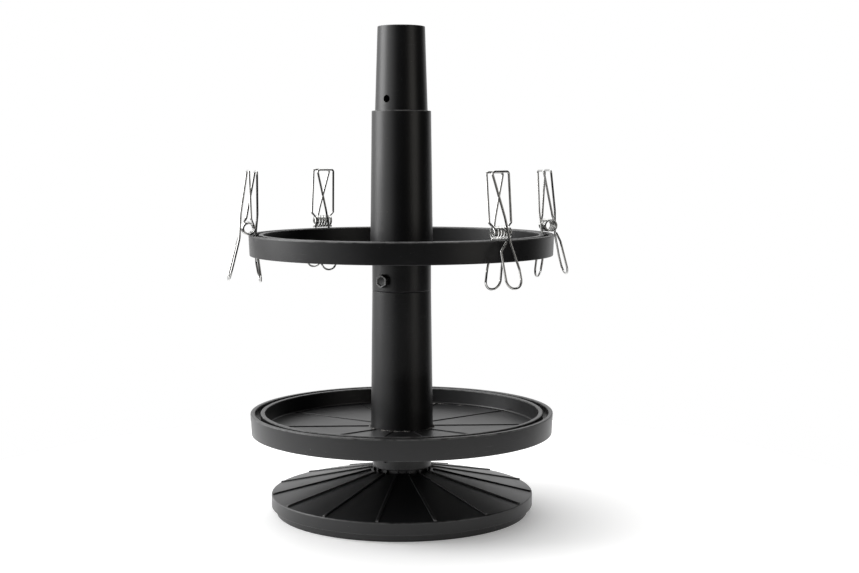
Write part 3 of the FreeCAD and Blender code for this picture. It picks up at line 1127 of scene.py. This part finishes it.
@dataclass
class LockBolt:
    """Hexagon-headed bolt with a dished head, and its nut."""

    shop: Workshop
    spigot: SpigotSizes
    face: float = 29.4 * MM
    flats: float = 11.5 * MM
    head_length: float = 6.5 * MM
    recess: float = 1.4 * MM
    rim: float = 1.3 * MM
    radius: float = 3.0 * MM
    nut_length: float = 5.0 * MM
    tail: float = 3.0 * MM
    thread_pitch: float = 1.0 * MM
    thread_radius: float = 0.42 * MM
    nut_bore: float = 3.07 * MM
    ring_points: int = 48
    edge_bevel: float = 0.25 * MM

    def rings(self, profile: list[tuple[float, float, bool]], worn_at: float = math.inf) -> bpy.types.Mesh:
        """Loft round or hexagonal rings along X, with a corner of each hexagon up.

        Args:
            profile: (size, x, hexagonal) for each ring, where size is half the flats or a radius.
            worn_at: The x whose rings carry the pale edge mark.

        Returns:
            A closed mesh if the first and last rings have no size, or are filled.
        """
        verts, faces = [], []
        segments = self.ring_points
        for size, x, hexagonal in profile:
            for k in range(segments):
                angle = 2 * math.pi * k / segments
                reach = size
                if hexagonal:
                    wedge = angle % (math.pi / 3) - math.pi / 6
                    reach = size / math.cos(wedge)
                verts.append((x, reach * math.sin(angle), reach * math.cos(angle)))
        for j in range(len(profile) - 1):
            for k in range(segments):
                a, b = j * segments + k, j * segments + (k + 1) % segments
                faces.append((a, b, b + segments, a + segments))
        mesh = bpy.data.meshes.new("hexagon")
        mesh.from_pydata(verts, [], faces)
        wear_and_sheen = mesh.attributes.new("wear_and_sheen", "FLOAT", "POINT")
        wear_and_sheen.data.foreach_set("value", [float(abs(vert[0] - worn_at) < 1e-6) for vert in verts])
        shell = bmesh.new()
        shell.from_mesh(mesh)
        bmesh.ops.holes_fill(shell, edges=[e for e in shell.edges if e.is_boundary], sides=0)
        bmesh.ops.recalc_face_normals(shell, faces=shell.faces)
        shell.to_mesh(mesh)
        shell.free()
        return mesh

    def dressed(self, mesh: bpy.types.Mesh, place: Matrix) -> bpy.types.Mesh:
        """Bevel, paint and place a mesh that lies along X.

        Args:
            mesh: The mesh.
            place: Where it goes.

        Returns:
            The finished mesh.
        """
        host = bpy.data.objects.new("bevel_host", mesh)
        bpy.context.scene.collection.objects.link(host)
        bevel = host.modifiers.new("bevel", "BEVEL")
        bevel.width, bevel.segments, bevel.angle_limit = self.edge_bevel, 3, math.radians(28)
        bpy.context.view_layer.update()
        result = baked_mesh(host)
        result.transform(place)
        result.materials.clear()
        result.materials.append(self.shop.fastener)
        smooth(result)
        return result

    def build(self) -> None:
        """Make the bolt and the nut."""
        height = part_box("upper_column")[0].z + self.spigot.hole_height
        place = Matrix.Translation((0, 0, height)) @ Matrix.Rotation(self.spigot.hole_azimuth, 4, "Z")
        half = self.flats / 2
        end = self.face + self.head_length
        core = self.radius - self.thread_radius
        back = -(self.face + self.nut_length + self.tail)
        profile = [
            # Shank, from its chamfered tip to the head.
            (core - 0.5 * MM, back, False), (core, back + 0.5 * MM, False), (core, self.face, False),
            # Head, with both ends chamfered.
            (half - 0.3 * MM, self.face, True), (half, self.face + 0.3 * MM, True),
            (half, end - 0.5 * MM, True), (half - 0.5 * MM, end, True),
            # Rim and round dish in the head's face.
            (half - self.rim, end, True), (half - self.rim - 0.6 * MM, end - self.recess, False)]
        bolt = self.dressed(self.rings(profile, worn_at=end), place)
        finish_piece(bolt, "bolt_body", Body.BOLT.value, ("lock_bolt",))
        length = self.face - back - 2.4 * MM
        thread = self.shop.wound.bake({
            "Turns": length / self.thread_pitch, "Radius": core - 0.02 * MM, "Length": length,
            "Wire Radius": self.thread_radius, "Material": self.shop.fastener})
        start = Matrix.Translation((back + 0.7 * MM, 0, 0))
        thread.transform(place @ start @ Matrix.Rotation(math.pi / 2, 4, "Y"))
        smooth(thread, 180)
        finish_piece(thread, "bolt_thread", Body.BOLT.value)
        self.build_nut(place @ Matrix.Rotation(math.pi, 4, "Z"))

    def build_nut(self, place: Matrix) -> None:
        """Make the nut.

        Args:
            place: Frame on the bolt's axis whose X points out of the tube's far side.
        """
        half = self.flats / 2
        near, far = self.face, self.face + self.nut_length
        profile = [
            (self.nut_bore, near + 0.3 * MM, False), (self.nut_bore + 0.4 * MM, near, False),
            (half - 0.3 * MM, near, True), (half, near + 0.3 * MM, True), (half, far - 0.5 * MM, True),
            (half - 0.5 * MM, far, True), (self.nut_bore + 0.4 * MM, far, False),
            (self.nut_bore, far - 0.3 * MM, False)]
        mesh = self.rings(profile)
        shell = bmesh.new()
        shell.from_mesh(mesh)
        caps = [f for f in shell.faces if len(f.verts) == self.ring_points]
        bmesh.ops.delete(shell, geom=caps, context="FACES_ONLY")
        loops = [e for e in shell.edges if e.is_boundary]
        bmesh.ops.bridge_loops(shell, edges=loops)
        bmesh.ops.recalc_face_normals(shell, faces=shell.faces)
        shell.to_mesh(mesh)
        shell.free()
        nut = self.dressed(mesh, place)
        finish_piece(nut, "bolt_nut", Body.NUT.value, ("lock_nut",))


@dataclass
class WireClip:
    """Sprung clip bent from one wire: a coil and two levers that mirror each other."""

    shop: Workshop
    place_name: str
    joint: dict[str, Any]
    tilt: float
    wire_radius: float = 1.1 * MM
    coil_radius: float = 5.4 * MM
    coil_pitch: float = 3.3 * MM
    coil_turns: int = 6
    coil_end_step: float = 0.9 * MM
    coil_gap: float = math.radians(4)
    part_turn: float = math.radians(120)
    leg_start: float = 2.6 * MM
    leg_foot: tuple[float, float, float] = (13.8 * MM, 1.0 * MM, 9.5 * MM)
    jaw_height: float = 55.2 * MM
    jaw_half_width: float = 9.9 * MM
    jaw_half_gap: float = 3.8 * MM
    jaw_bend: float = 2.6 * MM
    foot_bend: float = 2.0 * MM
    long_bend: float = 30.0 * MM
    knee_bend: float = 14.0 * MM
    end_bend: float = 2.5 * MM
    handle_depth: float = 50.5 * MM
    loop_outer_x: float = 9.3 * MM
    loop_inner_x: float = 8.6 * MM
    loop_bend: float = 8.5 * MM
    loop_top: float = -17.0 * MM
    knee_share: float = 0.66
    cross_top: float = 14.0 * MM
    waist: float = -10.0 * MM
    end_height: float = -8.5 * MM
    pass_clearance: float = 0.35 * MM
    tip: float = 15.5 * MM
    curve_outer: float = 1.0
    curve_inner: float = 1.6

    def lever_points(self, hand: Hand) -> list[tuple[Vector, float]]:
        """Corner points and bend radii of one lever, in the clip's own frame.

        Args:
            hand: Which lever.

        Returns:
            (point, bend radius) along the wire, from the coil's end to the handle's free end.
        """
        side = self.coil_radius + 2 * self.wire_radius + self.pass_clearance
        foot, knee, waist = -self.handle_depth, -self.knee_share * self.handle_depth, self.waist
        power = self.curve_outer if hand is Hand.OUTER else self.curve_inner
        end = -(self.coil_turns * self.coil_pitch / 2 + self.coil_end_step)

        def along(z: float) -> float:
            """X of the long diagonal at a height."""
            part = (self.jaw_height - z) / (self.jaw_height - knee)
            return self.jaw_half_width - (self.loop_outer_x + self.jaw_half_width) * part

        def spread(z: float) -> float:
            """Y of the handle at a height below the coil."""
            return side + (self.tip - side) * max(0.0, (waist - z) / (waist - foot)) ** power

        steps = 14
        points = []
        for k in range(steps + 1):
            angle = self.part_turn * k / steps
            down, inwards = self.coil_radius * math.cos(angle), self.coil_radius * math.sin(angle)
            points.append((Vector((end, -inwards, -down)), 0.0))
        rise = Vector((0, -math.cos(self.part_turn), math.sin(self.part_turn))) * self.leg_start
        out, past, up = self.leg_foot
        half, gap, jaw = self.jaw_half_width, self.jaw_half_gap, self.jaw_height
        points += [
            (points[-1][0] + rise, self.foot_bend),
            (Vector((-out, -past, up)), self.foot_bend),
            (Vector((-half, gap, jaw)), self.jaw_bend),
            (Vector((half, gap, jaw)), self.jaw_bend),
            (Vector((along(self.cross_top), side, self.cross_top)), self.long_bend),
            (Vector((along(waist), side, waist)), self.long_bend),
            (Vector((-self.loop_outer_x, spread(knee), knee)), self.knee_bend),
            (Vector((-self.loop_outer_x, spread(foot), foot)), self.loop_bend),
            (Vector((self.loop_inner_x, spread(foot), foot)), self.loop_bend),
            (Vector((self.loop_inner_x, spread(self.loop_top), self.loop_top)), self.end_bend),
            (Vector((0.8 * MM, side, self.end_height)), 0.0),
        ]
        return points

    def lever(self, hand: Hand) -> bpy.types.Mesh:
        """Bend one lever's wire.

        Args:
            hand: Which lever.

        Returns:
            The wire, in the clip's own frame.
        """
        points = self.lever_points(hand)
        path = bpy.data.meshes.new("lever_path")
        edges = [(i, i + 1) for i in range(len(points) - 1)]
        path.from_pydata([point for point, bend in points], edges, [])
        bends = path.attributes.new("bend", "FLOAT", "POINT")
        bends.data.foreach_set("value", [bend for point, bend in points])
        return self.shop.bent.bake({"Wire Radius": self.wire_radius, "Material": self.shop.wire}, path)

    def build(self) -> None:
        """Make the coil and both levers in place."""
        name = f"clip_{self.place_name}"
        tangent = Vector(self.joint["axis"]).normalized()
        outwards = tangent.cross(Vector((0, 0, 1)))
        place = Matrix((-tangent, outwards, Vector((0, 0, 1)))).transposed().to_4x4()
        place.translation = Vector(self.joint["pos_m"])
        place = place @ Matrix.Rotation(self.tilt, 4, "X")
        outer = self.lever(Hand.OUTER)
        outer.transform(place)
        smooth(outer)
        finish_piece(outer, f"{name}_outer_wire", f"{name}_jaw", (f"{name}_outer_lever",))
        inner = self.lever(Hand.INNER)
        inner.transform(place @ Matrix.Rotation(math.pi, 4, "Z"))
        smooth(inner)
        finish_piece(inner, f"{name}_inner_wire", name, (f"{name}_inner_lever",))
        turns = self.coil_turns - self.coil_gap / math.pi
        coil = self.shop.wound.bake({
            "Turns": turns, "Radius": self.coil_radius, "Length": self.coil_pitch * turns,
            "Wire Radius": self.wire_radius, "Material": self.shop.wire})
        start = -math.pi / 2 + self.coil_gap
        across, along = math.cos(start), math.sin(start)
        lay = Matrix(((0, across, along), (0, -along, across), (1, 0, 0))).transposed().to_4x4()
        lay.translation = Vector((-self.coil_pitch * turns / 2, 0, 0))
        coil.transform(place @ lay)
        smooth(coil)
        finish_piece(coil, f"{name}_spring", name, (f"{name}_coil",))


# ---------------------------------------------------------------------------------------
# Studio
# ---------------------------------------------------------------------------------------


@dataclass(frozen=True)
class Softbox:
    """A rectangular area light aimed at the feeder."""

    name: str
    place: tuple[float, float, float]
    size: tuple[float, float]
    power: float
    colour: tuple[float, float, float] = (1.0, 1.0, 1.0)
    aim: tuple[float, float, float] = (0.0, 0.0, 0.25)

    def build(self) -> None:
        """Make the light."""
        data = bpy.data.lights.new(self.name, "AREA")
        data.shape, data.size, data.size_y = "RECTANGLE", *self.size
        data.energy, data.color = self.power, self.colour
        light = bpy.data.objects.new(self.name, data)
        light.location = self.place
        light.rotation_euler = (Vector(self.aim) - Vector(self.place)).to_track_quat("-Z", "Y").to_euler()
        bpy.context.scene.collection.objects.link(light)


@dataclass
class Studio:
    """Floor, lights, world and camera."""

    floor_radius: float = 0.52
    floor_points: int = 128
    lens: float = 59.276368
    sensor_width: float = 36.0
    camera_place: tuple[float, float, float] = (-0.0398, -1.394, 0.3504)
    camera_yaw: float = 0.04827
    camera_pitch: float = 0.0905
    world_back: float = 1.0
    world_front: float = 0.03
    world_left: float = 1.9
    back_range: tuple[float, float] = (0.28, 0.9)
    back_skew: float = 0.22
    left_range: tuple[float, float] = (-0.35, -0.95)
    height_range: tuple[float, float] = (-0.25, 0.08)

    def build(self) -> None:
        """Make everything that isn't the feeder."""
        self.build_floor()
        self.build_world()
        self.build_lights()
        self.build_camera()
        bpy.context.scene.view_settings.view_transform = "Standard"

    def build_floor(self) -> None:
        """Lay the paper."""
        mesh = bpy.data.meshes.new("floor")
        turns = [2 * math.pi * k / self.floor_points for k in range(self.floor_points)]
        edge = [(self.floor_radius * math.cos(t), self.floor_radius * math.sin(t), 0) for t in turns]
        mesh.from_pydata(edge, [], [tuple(range(len(turns)))])
        mesh.materials.append(PaperFloor("studio_paper").build())
        floor = bpy.data.objects.new("floor", mesh)
        bpy.context.scene.collection.objects.link(floor)

    def build_world(self) -> None:
        """Light the reflections brightly from behind and the left, and leave the front dark.

        The camera itself sees plain white in every direction.
        """
        world = bpy.data.worlds.new("studio_world")
        bpy.context.scene.world = world
        world.use_nodes = True
        graph = Graph(world.node_tree)
        graph.tree.nodes.clear()
        way = graph.add("ShaderNodeTexCoord").outputs["Generated"]
        across, depth, up = graph.add("ShaderNodeSeparateXYZ", {0: way}).outputs[:3]
        start, full = self.back_range
        start = graph.math("ADD", start, graph.math("MULTIPLY", across, self.back_skew))
        behind = graph.remap(depth, start, full, self.world_front, self.world_back)
        left = graph.remap(across, *self.left_range, 0.0, self.world_left, interpolation_type="SMOOTHSTEP")
        raised = graph.remap(up, *self.height_range)
        level = graph.math("MAXIMUM", behind, graph.math("MULTIPLY", left, raised))
        sight = graph.add("ShaderNodeLightPath").outputs["Is Camera Ray"]
        level = graph.math("ADD", graph.math("MULTIPLY", level, graph.math("SUBTRACT", 1.0, sight)), sight)
        shade = graph.add("ShaderNodeBackground", {"Color": (1, 1, 1, 1), "Strength": level})
        graph.add("ShaderNodeOutputWorld", {0: shade.outputs[0]})

    def build_lights(self) -> None:
        """Hang the softboxes."""
        for box in (
            Softbox("left_box", (-1.24, 0.12, 0.76), (0.8, 1.2), 14.0),
            Softbox("right_box", (1.05, -0.90, 0.55), (0.7, 1.1), 2.2, (1.0, 0.96, 0.9)),
            Softbox("top_box", (0.0, 0.6, 1.9), (1.6, 1.6), 22.0),
        ):
            box.build()

    def build_camera(self) -> None:
        """Set the camera a little above the upper tray, looking slightly down."""
        data = bpy.data.cameras.new("camera")
        data.lens, data.sensor_width = self.lens, self.sensor_width
        camera = bpy.data.objects.new("camera", data)
        camera.location = self.camera_place
        camera.rotation_euler = (math.pi / 2 - self.camera_pitch, 0, -self.camera_yaw)
        bpy.context.scene.collection.objects.link(camera)
        bpy.context.scene.camera = camera


def main() -> None:
    """Build the feeder, then the studio."""
    logging.basicConfig(level=logging.INFO, format="%(name)s: %(message)s")
    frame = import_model()
    shop = Workshop(
        plastic=MouldedPlastic("moulded_black_plastic").build(),
        fastener=MouldedPlastic("fastener_black_plastic", roughness=0.24, pale_wear_and_sheen=(0.42, 0.42, 0.42)).build(),
        wire=BrightWire("bright_spring_wire").build(),
        flash=WeldFlash("weld_flash").build(),
    )
    spigot = SpigotSizes()
    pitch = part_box("upper_column")[0].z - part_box("lower_column")[0].z
    Base(shop, spigot).build()
    for level in Level:
        Module(shop, spigot, level, pitch).build()
    LockBolt(shop, spigot).build()
    joints = {joint["name"]: joint for joint in frame["joints"]}
    for place_name, tilt in CLIP_TILTS.items():
        WireClip(shop, place_name, joints[f"clip_{place_name}_squeeze"], tilt).build()
    Studio().build()


if __name__ == "__main__":
    main()
